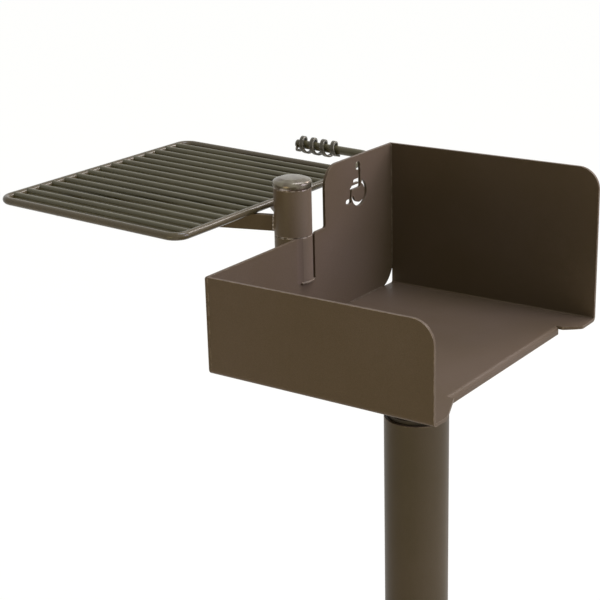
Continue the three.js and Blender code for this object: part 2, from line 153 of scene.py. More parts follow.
def mix_colors(tree, factor, a, b):
    inputs = {MIX_FACTOR: factor, MIX_A: a, MIX_B: b}
    return add_node(tree, "ShaderNodeMix", inputs, data_type="RGBA").outputs[MIX_RESULT]


def mix_shaders(tree, factor, a, b):
    inputs = {0: factor, 1: a.outputs[0], 2: b.outputs[0]}
    return add_node(tree, "ShaderNodeMixShader", inputs)


def noise(tree, place, scale, detail):
    inputs = {"Vector": place, "Scale": scale, "Detail": detail}
    return add_node(tree, "ShaderNodeTexNoise", inputs).outputs["Fac"]


def seen_directly(tree):
    path = add_node(tree, "ShaderNodeLightPath").outputs
    seen = calculate(tree, "ADD", path["Is Camera Ray"], path["Is Glossy Ray"], clamp=True)
    return calculate(tree, "ADD", seen, path["Is Transmission Ray"], clamp=True)


print("colour sockets", MIX_FACTOR, MIX_A, MIX_B, "to", MIX_RESULT)

# %% [markdown]
# The stage is a white studio: a wide pale floor, a sky and four soft lamps. Seen by
# the camera or in a reflection, floor and sky are made white, which costs no extra
# light on the object. Seen from below, the floor is clear, so that the underside
# can be looked at too. It lies a hair below the foot plate, so that the two faces
# don't share one plane.

# %% Floor
FLOOR_SIZE = 80
FLOOR_DROP = 0.0004
FLOOR_COLOR = (0.8, 0.75, 0.66, 1)
FLOOR_GLOW = 1.04
GLOW_SHARE = 0.93

bpy.ops.mesh.primitive_plane_add(size=FLOOR_SIZE, location=(0, 0, -FLOOR_DROP))
floor = bpy.context.object
floor.name = "studio_floor"
floor_look = bpy.data.materials.new("pale_floor")
floor_look.use_nodes = True
tree = floor_look.node_tree
tree.nodes.clear()
matte = add_node(tree, "ShaderNodeBsdfDiffuse", {"Color": FLOOR_COLOR})
glow = add_node(tree, "ShaderNodeEmission", {"Color": WHITE, "Strength": FLOOR_GLOW})
share = calculate(tree, "MULTIPLY", seen_directly(tree), GLOW_SHARE)
from_above = mix_shaders(tree, share, matte, glow)
clear = add_node(tree, "ShaderNodeBsdfTransparent")
side = add_node(tree, "ShaderNodeNewGeometry")
from_both = mix_shaders(tree, side.outputs["Backfacing"], from_above, clear)
add_node(tree, "ShaderNodeOutputMaterial", {"Surface": from_both.outputs[0]})
floor.data.materials.append(floor_look)
print("floor", FLOOR_SIZE, "m wide")

# %% [markdown]
# The photograph has its brightest edges on the open side of the box and on top. So
# the sky is pale there, and fades to nearly dark at the side opposite to it.

# %% Sky
OPEN_SIDE = Vector((0.68, 0.48, 0.56)).normalized()
DARK_SKY = (0.012, 0.01, 0.005, 1)
PALE_SKY = (0.98, 1.06, 0.68, 1)
FADE_FROM, FADE_TO = -0.2, 0.9

world = bpy.data.worlds.new("studio_sky")
bpy.context.scene.world = world
world.use_nodes = True
tree = world.node_tree
tree.nodes.clear()
toward = add_node(tree, "ShaderNodeTexCoord")
facing = add_node(
    tree, "ShaderNodeVectorMath", {0: toward.outputs["Generated"], 1: OPEN_SIDE},
    operation="DOT_PRODUCT",
)
openness = map_range(tree, facing.outputs["Value"], FADE_FROM, FADE_TO)
fade = mix_colors(tree, openness, DARK_SKY, PALE_SKY)
ambient = add_node(tree, "ShaderNodeBackground", {"Color": fade})
white = add_node(tree, "ShaderNodeBackground", {"Color": WHITE, "Strength": 1.0})
sky = mix_shaders(tree, seen_directly(tree), ambient, white)
add_node(tree, "ShaderNodeOutputWorld", {"Surface": sky.outputs[0]})
print("sky nodes", len(tree.nodes))

# %% [markdown]
# One lamp stands on the open side and one hangs above. One at the rear draws the
# far edges, and a weak warm one low in front keeps the front panel from going dark.
# All are wide disks, so that no shadow and no highlight has a hard edge.

# %% Lamps
def soft_lamp(name, place, aim, size, power, color):
    data = bpy.data.lights.new(name, "AREA")
    data.shape = "DISK"
    data.size = size
    data.energy = power
    data.color = color
    lamp = bpy.data.objects.new(name, data)
    bpy.context.scene.collection.objects.link(lamp)
    lamp.location = place
    lamp.rotation_euler = (Vector(aim) - Vector(place)).to_track_quat("-Z", "Y").to_euler()
    return lamp


soft_lamp(
    "open_side_lamp", place=(2.8, 0.88, 1.72), aim=(0, 0, 0.8), size=1.5, power=50,
    color=(0.72, 0.71, 1.0),
)
soft_lamp(
    "top_lamp", place=(0.5, 0.5, 3.3), aim=(0, 0, 0.8), size=1.6, power=45,
    color=(0.9, 0.95, 1.14),
)
soft_lamp(
    "rear_lamp", place=(1.05, 2.6, 2.83), aim=(-0.25, 0, 0.85), size=1.1, power=36,
    color=(1.0, 0.93, 0.92),
)
soft_lamp(
    "front_fill", place=(-0.2, -2.2, 0.3), aim=(0, 0, 0.7), size=1.2, power=10,
    color=(1.0, 0.8, 0.38),
)
bpy.context.scene.view_settings.view_transform = "Standard"

# %% [markdown]
# The coat is a baked powder: a satin brown film with a faint orange peel, drifting
# between a plum and an olive tone from place to place. Two node groups carry it, so
# that each material can place them with its own values. The first is the film: it
# gives colour, roughness and height. Its colour is the drift between two tones,
# with fine specks, and its roughness changes a little from patch to patch.

# %% Coat film group
COLOR = "NodeSocketColor"
FLOAT = "NodeSocketFloat"
SPECK_SCALE = 1400.0
PATCH_SCALE = 22.0
PATCH_MEAN = 0.5


def new_group(name, inputs, outputs):
    group = bpy.data.node_groups.new(name, "ShaderNodeTree")
    for label, kind, value in inputs:
        socket = group.interface.new_socket(name=label, in_out="INPUT", socket_type=kind)
        socket.default_value = value
    for label, kind in outputs:
        group.interface.new_socket(name=label, in_out="OUTPUT", socket_type=kind)
    return group, add_node(group, "NodeGroupInput").outputs


coat_film, given = new_group(
    "coat_film",
    [
        ("Tone A", COLOR, (0.1, 0.08, 0.06, 1)),
        ("Tone B", COLOR, (0.1, 0.08, 0.05, 1)),
        ("Drift Scale", FLOAT, 5.0),
        ("Peel Scale", FLOAT, 420.0),
        ("Roughness", FLOAT, 0.42),
        ("Roughness Spread", FLOAT, 0.015),
    ],
    [("Color", COLOR), ("Roughness", FLOAT), ("Height", FLOAT)],
)
place = add_node(coat_film, "ShaderNodeTexCoord").outputs["Object"]
drift = map_range(coat_film, noise(coat_film, place, given["Drift Scale"], 4.0), 0.35, 0.65)
tones = mix_colors(coat_film, drift, given["Tone A"], given["Tone B"])
specks = map_range(coat_film, noise(coat_film, place, SPECK_SCALE, 1.0), 0.3, 0.7, 0.9, 1.12)
shade = add_node(coat_film, "ShaderNodeVectorMath", {0: tones, "Scale": specks}, operation="SCALE")
patch = calculate(coat_film, "SUBTRACT", noise(coat_film, place, PATCH_SCALE, 5.0), PATCH_MEAN)
rough = calculate(
    coat_film, "MULTIPLY_ADD", patch, given["Roughness Spread"], given["Roughness"]
)
peel = noise(coat_film, place, given["Peel Scale"], 2.0)
add_node(coat_film, "NodeGroupOutput", {
    "Color": shade.outputs[0], "Roughness": rough, "Height": peel,
})
print("group", coat_film.name, "nodes", len(coat_film.nodes))

# %% [markdown]
# The second group finds the edges, where the film is thin and gets rubbed. A Bevel
# node gives the normal that a rounded edge would have. Where it leans away from the
# face's true normal, an edge is near. Noise breaks the line up, as real wear does.
# The group lightens the colour there, and hands on its mask. This lighter colour is
# part wear and part painted highlight: it also stands in for the thin line of light
# that a rounded edge catches.

# %% Rubbed edge and painted highlight group
EDGE_SAMPLES = 6
NO_LEAN, FULL_LEAN = 0.99, 0.93
BREAK_FROM, BREAK_TO = 0.38, 0.62

edge_wear_and_highlight, given = new_group(
    "edge_wear_and_highlight",
    [
        ("Color", COLOR, (0.1, 0.08, 0.06, 1)),
        ("Rubbed And Lit Color", COLOR, (0.4, 0.34, 0.3, 1)),
        ("Amount", FLOAT, 0.5),
        ("Grain", FLOAT, 90.0),
        ("Reach", FLOAT, 0.0014),
    ],
    [("Color", COLOR), ("Mask", FLOAT)],
)
shape = add_node(edge_wear_and_highlight, "ShaderNodeNewGeometry")
rounded = add_node(edge_wear_and_highlight, "ShaderNodeBevel", {"Radius": given["Reach"]}, samples=EDGE_SAMPLES)
lean = add_node(
    edge_wear_and_highlight, "ShaderNodeVectorMath",
    {0: rounded.outputs["Normal"], 1: shape.outputs["True Normal"]}, operation="DOT_PRODUCT",
)
sharp = map_range(edge_wear_and_highlight, lean.outputs["Value"], NO_LEAN, FULL_LEAN)
place = add_node(edge_wear_and_highlight, "ShaderNodeTexCoord").outputs["Object"]
breaks = map_range(edge_wear_and_highlight, noise(edge_wear_and_highlight, place, given["Grain"], 6.0), BREAK_FROM, BREAK_TO)
# The edge mask marks both rubbed coat and a painted edge highlight.
worn_and_lit_edges = calculate(edge_wear_and_highlight, "MULTIPLY", sharp, breaks)
mask = calculate(edge_wear_and_highlight, "MULTIPLY", worn_and_lit_edges, given["Amount"], clamp=True)
rubbed_and_lit = mix_colors(edge_wear_and_highlight, mask, given["Color"], given["Rubbed And Lit Color"])
add_node(edge_wear_and_highlight, "NodeGroupOutput", {"Color": rubbed_and_lit, "Mask": mask})
print("group", edge_wear_and_highlight.name, "nodes", len(edge_wear_and_highlight.nodes))

# %% [markdown]
# A material joins the groups to one Principled shader. The mask also makes a rubbed
# edge metallic, since bare steel shows through there. The height feeds a Bump node,
# because the peel is far too fine to model. A look without a rubbed and painted-light
# edge colour, such as that of the tumbled rods, leaves the edge group out.

# %% Coat materials
EDGE_METAL = 0.9
PEEL_DEPTH = 0.0003


def srgb(r, g, b):
    return tuple((v / 255) ** 2.2 for v in (r, g, b)) + (1,)


def coated_look(
    name, tone_a, tone_b, rubbed_and_lit=None, roughness=0.42, wear_and_highlight=0.5, metallic=0.0, bump=0.25,
    drift=5.0, gloss=0.3, grain=90.0, reach=0.0014,
):
    look = bpy.data.materials.new(name)
    look.use_nodes = True
    tree = look.node_tree
    film = add_node(tree, "ShaderNodeGroup", {
        "Tone A": tone_a, "Tone B": tone_b, "Drift Scale": drift, "Roughness": roughness,
    }, node_tree=coat_film).outputs
    color, metal = film["Color"], metallic
    # The edge colour is rubbed coat and a painted highlight in one.
    if rubbed_and_lit:
        edges = add_node(tree, "ShaderNodeGroup", {
            "Color": color, "Rubbed And Lit Color": rubbed_and_lit, "Amount": wear_and_highlight, "Grain": grain, "Reach": reach,
        }, node_tree=edge_wear_and_highlight).outputs
        color = edges["Color"]
        metal = calculate(
            tree, "MULTIPLY_ADD", edges["Mask"], EDGE_METAL, metallic, clamp=True
        )
    height = add_node(tree, "ShaderNodeBump", {
        "Strength": bump, "Distance": PEEL_DEPTH, "Height": film["Height"],
    })
    feed(tree, tree.nodes["Principled BSDF"], {
        "Base Color": color,
        "Metallic": metal,
        "Roughness": film["Roughness"],
        "Specular IOR Level": gloss,
        "Normal": height.outputs["Normal"],
    })
    return look


print("film sockets", [item.name for item in coat_film.interface.items_tree])

# %% [markdown]
# The plates have the plum brown of the photograph. The socket and the sleeve are
# worn more along their ends, where the grate turns, and that rubbed edge colour is
# also a painted glint. Their coat is a lighter copy of the brown, which is painted
# light. The pipe is a little darker, a shaded copy of the brown that paints the shade
# under the box, and the rods are more olive and more shiny, the frame's most of all.

# %% Plate, pipe and rod coats
# The lighter edge colour is partly rubbed coat and partly a painted highlight along the plate
# edges.
brown_coat = coated_look(
    "brown_powder_coat", srgb(94, 80, 72), srgb(90, 76, 65), srgb(170, 152, 134),
    gloss=0.1, reach=0.0012,
)
# A lighter copy of the brown coat, painted light; its bright rubbed ends are wear and painted
# glints.
lit_seam_coat = coated_look(
    "rubbed_and_lit_powder_coat", srgb(105, 90, 83), srgb(100, 86, 75), srgb(214, 198, 186),
    roughness=0.4, wear_and_highlight=1.0, gloss=0.12, grain=170.0, reach=0.0026,
)
# A darker copy of the brown coat: painted shade under the firebox.
shaded_pipe_coat = coated_look(
    "shaded_pipe_powder_coat", srgb(81, 70, 59), srgb(76, 66, 53), srgb(170, 150, 132),
    wear_and_highlight=0.7, gloss=0.14, reach=0.0018,
)
olive_coat = coated_look(
    "olive_rod_coat", srgb(83, 77, 60), srgb(78, 72, 55), roughness=0.3, drift=9.0
)
frame_coat = coated_look(
    "brown_rod_coat", srgb(85, 75, 62), srgb(79, 70, 55), roughness=0.21, drift=9.0
)

print("coats", [m.name for m in bpy.data.materials])

# %% [markdown]
# Most welds are under the coat, and only the arms' beads are bright: bare weld with
# painted glints, near white specks along their ridges. The bearing parts are dark
# greased steel. The grip's lighter edges are handling wear and a painted highlight in
# one. The cap has a blotched, half bare top, and its rubbed rim colour is also a
# painted highlight on its side band.

# %% Weld, steel and cap looks
weld_coat = coated_look(
    "coated_weld", srgb(92, 79, 70), srgb(84, 72, 62), srgb(158, 140, 126), bump=0.6, gloss=0.2
)
filled_coat = coated_look(
    "filled_seam_coat", srgb(96, 81, 75), srgb(92, 78, 69), gloss=0.12
)
# Its near white edge specks are painted glints on bare weld.
bare_weld_with_glints = coated_look(
    "bright_weld", srgb(120, 104, 92), srgb(96, 84, 72), srgb(236, 224, 212),
    roughness=0.36, wear_and_highlight=1.0, bump=0.6, metallic=0.3, gloss=0.4, grain=220.0, reach=0.0022,
)
greased_steel = coated_look(
    "greased_steel", srgb(64, 57, 48), srgb(50, 45, 38), srgb(120, 112, 102),
    roughness=0.45, metallic=0.4, gloss=0.2,
)
# Its near white edge colour is handling wear and a painted highlight in one.
grip_steel = coated_look(
    "grip_strip", srgb(78, 73, 61), srgb(66, 61, 50), srgb(228, 218, 202),
    roughness=0.34, wear_and_highlight=1.0, metallic=0.25, gloss=0.45,
)
# Its lighter rim and side band are rubbed steel and a painted highlight in one.
worn_and_lit_cap = coated_look(
    "worn_and_lit_cap", srgb(112, 105, 90), srgb(88, 78, 68), srgb(196, 180, 172),
    roughness=0.27, wear_and_highlight=0.8, metallic=0.55, drift=70.0, gloss=0.6, reach=0.004,
)
print("materials", [m.name for m in bpy.data.materials])

# %% [markdown]
# New pieces are made of rings of points with one skin over them. `lofted` makes that
# skin, and `piece_from` turns it into an object that rides on a body of the frame.

# %% Loft helpers
def arc(cx, cy, radius, from_angle, to_angle, steps):
    turns = [
        math.radians(from_angle + (to_angle - from_angle) * i / steps) for i in range(steps + 1)
    ]
    return [(cx + radius * math.cos(t), cy + radius * math.sin(t)) for t in turns]


def circle(cx, cy, radius, steps):
    return arc(cx, cy, radius, 0, 360, steps)[:-1]


def ease(t):
    return t * t * (3 - 2 * t)


def lofted(rings, closed=False):
    sides = len(rings[0])
    verts = [point for ring in rings for point in ring]
    faces = []
    for i in range(len(rings) if closed else len(rings) - 1):
        this, following = i * sides, (i + 1) % len(rings) * sides
        for j in range(sides):
            k = (j + 1) % sides
            faces.append((this + j, this + k, following + k, following + j))
    if not closed:
        faces.append(tuple(reversed(range(sides))))
        faces.append(tuple(range(len(verts) - sides, len(verts))))
    return verts, faces


def joined(parts):
    verts, faces = [], []
    for more_verts, more_faces in parts:
        base = len(verts)
        verts += more_verts
        faces += [tuple(base + i for i in face) for face in more_faces]
    return verts, faces


def piece_from(name, verts, faces, body, look, slot_name, smooth=True):
    mesh = bpy.data.meshes.new(name)
    mesh.from_pydata([tuple(v) for v in verts], [], faces)
    mesh.update()
    if smooth:
        mesh.polygons.foreach_set("use_smooth", [True] * len(mesh.polygons))
    mesh.materials.append(look)
    made = bpy.data.objects.new(name, mesh)
    bpy.context.scene.collection.objects.link(made)
    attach(made, body)
    return made


print("a square prism has", len(lofted([circle(0, 0, 1, 4)] * 2)[1]), "faces")

# %% [markdown]
# Rods and welds are a round section swept along a line. The section is carried along
# without twisting, so a bent rod has no kink. Its ends are rounded off as those of a
# sheared and tumbled rod are, with one more ring behind each end to keep the shading
# of the rod's length even. A weld is a sweep whose radius rises and falls, like the
# frozen ripples of a weld bead.

# %% Sweep helpers
ROD_SIDES = 24
ROD_END = 0.0012
WELD_SIDES = 8
WELD_STEP = 0.0014
RIPPLE_STEPS = 4
WELD_JITTER = 0.07
WELD_END = 0.5


def moved(ring, along, narrower=0.0):
    point, across, other, radius, aim = ring
    return point + aim * along, across, other, radius - narrower, aim


def sweep(points, radii, sides=ROD_SIDES, closed=False, ends=ROD_END):
    count = len(points)
    aims = []
    for i in range(count):
        before = points[i - 1] if i or closed else points[i]
        after = points[(i + 1) % count] if i < count - 1 or closed else points[i]
        aims.append((after - before).normalized())
    across = aims[0].orthogonal().normalized()
    sections = []
    for i, point in enumerate(points):
        if i:
            across = aims[i - 1].rotation_difference(aims[i]) @ across
        sections.append((point, across.copy(), aims[i].cross(across), radii[i], aims[i]))
    if not closed and ends:
        first, last = sections[0], sections[-1]
        sections[:1] = [moved(first, 0, ends), moved(first, ends), moved(first, 3 * ends)]
        sections[-1:] = [moved(last, -3 * ends), moved(last, -ends), moved(last, 0, ends)]
    unit = circle(0, 0, 1, sides)
    rings = [[point + (a * u + b * v) * r for u, v in unit] for point, a, b, r, _ in sections]
    return lofted(rings, closed)


def rod(points, radius, closed=False):
    return sweep(points, [radius * MM] * len(points), closed=closed)


def weld_line(points, radius, ripple=0.14, closed=False):
    run = []
    for a, b in zip(points, points[1:] + points[:1] if closed else points[1:]):
        pieces = max(1, round((b - a).length / WELD_STEP))
        run += [a.lerp(b, i / pieces) for i in range(pieces)]
    if not closed:
        run.append(points[-1])
    radii = []
    for i in range(len(run)):
        swell = math.sin(i * 2 * math.pi / RIPPLE_STEPS)
        jitter = random.uniform(-WELD_JITTER, WELD_JITTER)
        radii.append(radius * MM * (1 + ripple * swell + jitter))
    if not closed:
        radii[0] *= WELD_END
        radii[-1] *= WELD_END
    return sweep(run, radii, WELD_SIDES, closed, ends=0)


print("sides of a rod", ROD_SIDES, "and of a weld", WELD_SIDES)

# %% [markdown]
# The plates and pipes keep their exact frame shape. Real sheared plate has a small
# rounded edge that catches a thin line of light, so each frame node gets a Bevel
# modifier. The mesh is first welded and its flat faces merged, so that the bevel
# follows real edges only. Weighted normals then keep the big faces lit as flat
# sheets, and leave all the shading of the round edges to the edges.

# %% Soft edges on frame nodes
MERGE_DISTANCE = 0.00001
FLAT_ANGLE = math.radians(0.6)
EDGE_ANGLE = math.radians(40)
EDGE_SEGMENTS = 2
FACE_WEIGHT = 80


def round_edges(thing, width):
    edge = thing.modifiers.new("edge", "BEVEL")
    edge.limit_method = "ANGLE"
    edge.angle_limit = EDGE_ANGLE
    edge.width = width * MM
    edge.segments = EDGE_SEGMENTS
    even = thing.modifiers.new("even_light", "WEIGHTED_NORMAL")
    even.mode = "FACE_AREA"
    even.weight = FACE_WEIGHT


def soften(node, width, look):
    thing = nodes[node]
    weld = thing.modifiers.new("weld", "WELD")
    weld.merge_threshold = MERGE_DISTANCE
    flat = thing.modifiers.new("flat", "DECIMATE")
    flat.decimate_type = "DISSOLVE"
    flat.angle_limit = FLAT_ANGLE
    round_edges(thing, width)
    thing.data.polygons.foreach_set("use_smooth", [True] * len(thing.data.polygons))
    thing.data.materials.clear()
    thing.data.materials.append(look)


soften("firebox_tray", 1.1, brown_coat)
soften("floor_doubler", 0.8, brown_coat)
soften("base_plate", 1.5, brown_coat)
# The pipe takes the shaded copy of the brown, painted shade, and the socket and sleeve the lit
# copy, painted light.
soften("pedestal_pipe", 1.0, shaded_pipe_coat)
soften("spindle", 0.6, brown_coat)
soften("post_socket", 0.9, lit_seam_coat)
soften("swing_sleeve", 0.9, lit_seam_coat)
soften("front_arm", 1.2, brown_coat)
soften("rear_arm", 1.2, brown_coat)
for name in ("bearing_ring", "guide_ring", "thrust_collar", "retaining_pin", "pivot_post"):
    soften(name, 0.6, greased_steel)
print("softened", len([thing for thing in nodes.values() if thing.modifiers]))

# %% [markdown]
# The left wall is a plate with a low front part, a notch for the post's socket and a
# tall rear part. It carries a cut-out wheelchair figure. The wall is made again here
# from its outline, as (along, up) points, so that the figure can be cut out of it.

# %% Wall outline
PLATE = 4.76
BOX_DEPTH = 508
LOW = 150.45
TALL = 249.25
TALL_START = 304
REAR_ROUND = 50
TALL_ROUND = 35
STEP_ROUND = 4
LEDGE_ROUND = 6
FRONT_ROUND = 3
FOOT_ROUND = 8
SLEEVE_RADIUS = 30.15
FIT_GAP = 0.3
SOCKET_Z = 75.7

half_chord = math.sqrt((SLEEVE_RADIUS + FIT_GAP) ** 2 - POST_X**2)
outline = [(FOOT_ROUND, 0)]
outline += arc(BOX_DEPTH - REAR_ROUND, REAR_ROUND, REAR_ROUND, -90, 0, 14)
outline += [(BOX_DEPTH, TALL)]
outline += arc(TALL_START + TALL_ROUND, TALL - TALL_ROUND, TALL_ROUND, 90, 180, 14)
outline += arc(TALL_START - STEP_ROUND, LOW + STEP_ROUND, STEP_ROUND, 0, -90, 5)
outline += arc(POST_Y + LEDGE_ROUND + half_chord, LOW - LEDGE_ROUND, LEDGE_ROUND, 90, 180, 6)
outline += [(POST_Y + half_chord, SOCKET_Z), (POST_Y - half_chord, SOCKET_Z)]
outline += [(POST_Y - half_chord, LOW)]
outline += arc(FRONT_ROUND, LOW - FRONT_ROUND, FRONT_ROUND, 90, 180, 4)
outline += arc(FOOT_ROUND, FOOT_ROUND, FOOT_ROUND, 180, 260, 6)


def slab(shape, from_x, to_x):
    return lofted([[in_box(x, y, z) for y, z in shape] for x in (from_x, to_x)])


print("outline points", len(outline))

# %% [markdown]
# The figure is a round head, five round-ended strokes and a wheel. The wheel isn't a
# closed ring: it stays open under the lap, where the plate holds its middle.

# %% Sign strokes
def stroke(a, b, width):
    turn = math.degrees(math.atan2(b[1] - a[1], b[0] - a[0]))
    r = width / 2
    return arc(*b, r, turn - 90, turn + 90, 8) + arc(*a, r, turn + 90, turn + 270, 8)


def wheel(cy, cz, inner, outer, from_angle, to_angle):
    outside = arc(cy, cz, outer, from_angle, to_angle, 30)
    return outside + arc(cy, cz, inner, to_angle, from_angle, 30)


head = circle(400.2, 232.3, 7.4, 20)
torso = stroke((404.6, 226), (404.6, 199), 6.2)
arm = stroke((403, 208.2), (389, 208), 6.6)
lap = stroke((404.4, 198.8), (382.4, 198.6), 6.8)
leg = stroke((378.8, 197), (376, 178), 5)
foot = stroke((376, 177.2), (367.6, 177.7), 8.4)
rim = wheel(403.5, 186.5, 15.8, 22.4, -172, 66)
figure = [head, torso, arm, lap, leg, foot, rim]
print("strokes", len(figure))

# %% [markdown]
# All of the figure becomes one cutter, which reaches past both faces of the plate,
# and a Boolean modifier takes it out. The result is kept as the wall's mesh, so that
# the edges of the figure are rounded like all other edges.

# %% Cut the wall
CUT_MARGIN = 3

wall = piece_from("sign_wall", *slab(outline, 0, PLATE), "firebox", brown_coat, "coated_steel")
cutter = bpy.data.objects.new("sign_cutter", bpy.data.meshes.new("sign_cutter"))
cut_verts, cut_faces = joined([slab(shape, -CUT_MARGIN, PLATE + CUT_MARGIN) for shape in figure])
cutter.data.from_pydata([tuple(v) for v in cut_verts], [], cut_faces)
bpy.context.scene.collection.objects.link(cutter)
cut = wall.modifiers.new("sign", "BOOLEAN")
cut.operation = "DIFFERENCE"
cut.solver = "EXACT"
cut.use_self = True
cut.object = cutter
bpy.context.view_layer.update()
cut_wall = wall.evaluated_get(bpy.context.evaluated_depsgraph_get())
cut_mesh = bpy.data.meshes.new_from_object(cut_wall)
wall.modifiers.clear()
wall.data = cut_mesh
bpy.data.objects.remove(cutter)
round_edges(wall, 0.7)
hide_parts("side_wall")
print("sign wall faces", len(wall.data.polygons))

# %% [markdown]
# The grate is plain round rod: a closed frame bent at its corners, and fifteen
# bars welded between its two long sides. The frame nodes have few sides for the
# physics, so here each rod is swept again with a rounder section, at the same
# centre line and radius, and the bars run on into the frame as welded bars do.

# %% Grate frame
ROD = 6.35
CORNER = 22
GRATE_TIP, GRATE_ROOT = -427, -58
GRATE_FRONT, GRATE_REAR = -213, 259


def rounded_loop():
    points = []
    for cx, cy, from_angle in (
        (GRATE_ROOT - CORNER, GRATE_FRONT + CORNER, -90),
        (GRATE_ROOT - CORNER, GRATE_REAR - CORNER, 0),
        (GRATE_TIP + CORNER, GRATE_REAR - CORNER, 90),
        (GRATE_TIP + CORNER, GRATE_FRONT + CORNER, 180),
    ):
        bend = arc(cx, cy, CORNER, from_angle, from_angle + 90, 12)
        points += [on_deck(x, y, 0) for x, y in bend]
    return points


grate = piece_from(
    "round_grate_frame", *rod(rounded_loop(), ROD, closed=True), "grate_arm", frame_coat,
    "coated_bar",
)
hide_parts("grate_frame")
print("frame mm", GRATE_ROOT - GRATE_TIP, "x", GRATE_REAR - GRATE_FRONT)

# %% [markdown]
# Each end of a bar gets a weld collar. It lies round the bar and leans over onto the
# frame's rod, above and below.

# %% Grate bars
BARS = 15
BAR_SINK = 2
COLLAR_STEPS = 20
COLLAR_RADIUS = ROD - 0.3
COLLAR_REACH = 2.6
COLLAR_INSET = 1.2
COLLAR_BEAD = 1.1

pitch = (GRATE_REAR - GRATE_FRONT) / (BARS + 1)
weld_parts = []


def collar(x, y, lean):
    ring = []
    for i in range(COLLAR_STEPS):
        a = 2 * math.pi * i / COLLAR_STEPS
        across, up = COLLAR_RADIUS * math.cos(a), COLLAR_RADIUS * math.sin(a)
        ring.append(on_deck(x + lean * abs(math.sin(a)) * COLLAR_REACH, y + across, up))
    return weld_line(ring, COLLAR_BEAD, closed=True)


for i in range(1, BARS + 1):
    y = GRATE_FRONT + pitch * i
    stops = (GRATE_TIP + BAR_SINK, (GRATE_TIP + GRATE_ROOT) / 2, GRATE_ROOT - BAR_SINK)
    bar = piece_from(
        f"round_bar_{i:02d}", *rod([on_deck(x, y, 0) for x in stops], ROD), "grate_arm",
        olive_coat, "coated_bar",
    )
    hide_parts(f"grate_bar_{i:02d}")
    weld_parts.append(collar(GRATE_TIP + ROD - COLLAR_INSET, y, -1))
    weld_parts.append(collar(GRATE_ROOT - ROD + COLLAR_INSET, y, 1))
piece_from("bar_welds", *joined(weld_parts), "grate_arm", olive_coat, "coated_bar")
print("bars", BARS, "pitch mm", round(pitch, 2))

# %% [markdown]
# The handle is a slightly thicker rod, welded to the rear of the frame, lifted a
# little and bent to run along it.

# %% Handle rod
HANDLE_ROD = 7.6
LEG_X = -75
RUN_Y = 347.8
RISE = 8.4
BEND = 24
TIP_X = LEG_X - 157
TIP_EXTRA = 5
LIFT_STEPS = 8
BEND_STEPS = 16

leg_start = GRATE_REAR + 2
leg_end = RUN_Y - BEND
path = []
for i in range(LIFT_STEPS + 1):
    t = i / LIFT_STEPS
    path.append(on_deck(LEG_X, leg_start + (leg_end - leg_start) * t, RISE * ease(t)))
corner = arc(LEG_X - BEND, leg_end, BEND, 0, 90, BEND_STEPS)
path += [on_deck(x, y, RISE) for x, y in corner[1:]]
path.append(on_deck(TIP_X - TIP_EXTRA, RUN_Y, RISE))
handle = piece_from(
    "round_handle", *rod(path, HANDLE_ROD), "grate_arm", olive_coat, "coated_bar"
)
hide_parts("handle_rod")
print("handle points", len(path))

# %% [markdown]
# A flat strip is wound on the handle's free end, so that a hand doesn't touch the
# hot rod. It opens to a wide coil within a third of a turn, and closes again at both
# ends until it lies on the rod, where it is tacked. Its first quarter turn grows
# from a narrow tongue to the full width.

# %% Strip grip
STRIP_WIDTH = 8
STRIP_THICKNESS = 3.5
STRIP_ROUND = 0.9
ROUND_SHARE = 0.45
COIL_RADIUS = 13.75
COIL_LENGTH = 89.4
COIL_START = TIP_X - 2
CURLS = 4.25
TAPER = 0.25
TONGUE = 1 / 8
OPENING = 0.35
STEPS_PER_CURL = 56
AIM_STEP = 0.001
END_SHRINK = 0.4
END_INSET = 0.5


def strip_place(t):
    from_end = min(t, 1 - t) * CURLS
    closed = HANDLE_ROD + FIT_GAP + STRIP_THICKNESS / 2
    r = closed + (COIL_RADIUS - closed) * ease(min(from_end / OPENING, 1))
    wound = t * CURLS - TAPER
    a = wound * 2 * math.pi
    along = COIL_START + max(wound, 0) / (CURLS - TAPER) * COIL_LENGTH
    outward = Vector((0, math.sin(a), -math.cos(a)))
    return Vector((along, RUN_Y, RISE)) + outward * r, outward


def strip_ring(t, shrink=0.0, inset=0.0):
    at, outward = strip_place(t)
    aim = (strip_place(t + AIM_STEP)[0] - strip_place(t - AIM_STEP)[0]).normalized()
    outward = (outward - aim * outward.dot(aim)).normalized()
    wide = aim.cross(outward)
    wide = wide if wide.x > 0 else -wide
    grown = min(t * CURLS / TAPER, 1)
    width = STRIP_WIDTH * (TONGUE + (1 - TONGUE) * grown) - 2 * shrink
    r = min(STRIP_ROUND, width * ROUND_SHARE)
    u, v = width / 2 - r, STRIP_THICKNESS / 2 - shrink - r
    edge = []
    for cx, cy, from_angle in ((u, v, 0), (-u, v, 90), (-u, -v, 180), (u, -v, 270)):
        edge += arc(cx, cy, r, from_angle, from_angle + 90, 4)
    middle = at + wide * (STRIP_WIDTH / 2 - shrink - width / 2) + aim * inset
    return [on_deck(*(middle + wide * p + outward * q)) for p, q in edge]


steps = round(CURLS * STEPS_PER_CURL)
rings = [strip_ring(0, shrink=END_SHRINK), strip_ring(0, inset=END_INSET)]
rings += [strip_ring(i / steps) for i in range(1, steps)]
rings += [strip_ring(1, inset=-END_INSET), strip_ring(1, shrink=END_SHRINK)]
grip = piece_from("strip_grip", *lofted(rings), "grate_arm", grip_steel, "coil_wire")
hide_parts("handle_coil")
print("grip rings", len(rings), "pitch mm", round(COIL_LENGTH / (CURLS - TAPER), 2))

# %% [markdown]
# The cap on the swinging sleeve is pressed from steel. It is turned here from a full
# profile of (radius, height) points: a chamfered rim, an upright side, a soft
# shoulder and a faintly crowned top.

